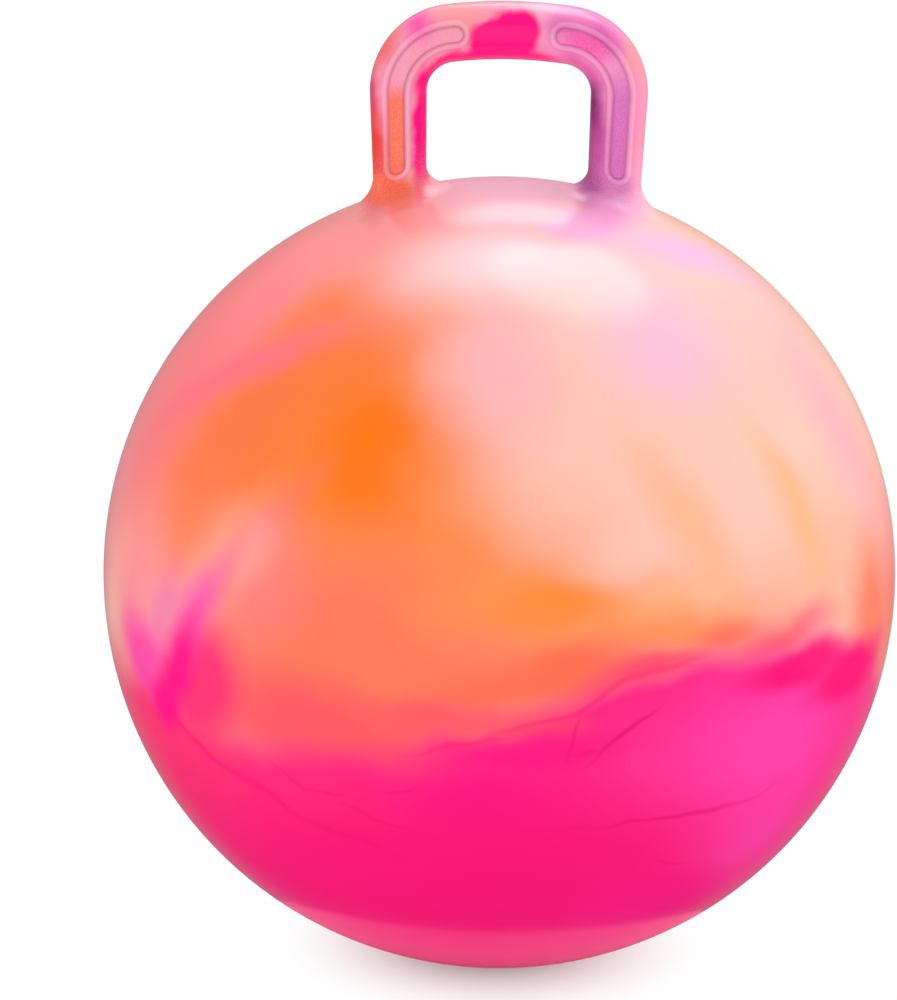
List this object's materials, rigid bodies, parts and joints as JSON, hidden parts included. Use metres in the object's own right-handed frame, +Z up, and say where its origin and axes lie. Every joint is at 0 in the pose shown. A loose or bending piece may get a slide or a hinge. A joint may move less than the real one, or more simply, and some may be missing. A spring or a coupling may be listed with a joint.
{
  "type": "hopper ball",
  "caption": "Inflated vinyl bouncing ball with a hollow loop handle on its crown, finger recesses in the grip and a push-in air plug at the back.",
  "frame": {"origin": "middle of the flat patch that the ball stands on", "axes": "+Z up through the ball to the handle, X along the handle's top bar, the front of the ball towards -Y and the valve at the back, towards +Y"},
  "size_m": [0.4499, 0.4498, 0.5491],
  "materials": {
    "marbled_skin": "soft PVC, marbled pink, orange and magenta, glossy",
    "marbled_handle": "soft PVC, marbled pink, magenta and lilac, glossy",
    "valve_vinyl": "soft PVC, satin",
    "plug_plastic": "white polyethylene, satin"
  },
  "bodies": {
    "ball": {"ball_skin": "marbled_skin", "handle": "marbled_handle", "valve_seat": "valve_vinyl"},
    "plug": {"valve_plug": "plug_plastic"}
  },
  "joints": [
    {"name": "plug_pull", "type": "slide", "parent": "ball", "child": "plug", "axis": [0, 0.5878, 0.809], "range_m": [0, 0.025]}
  ]
}
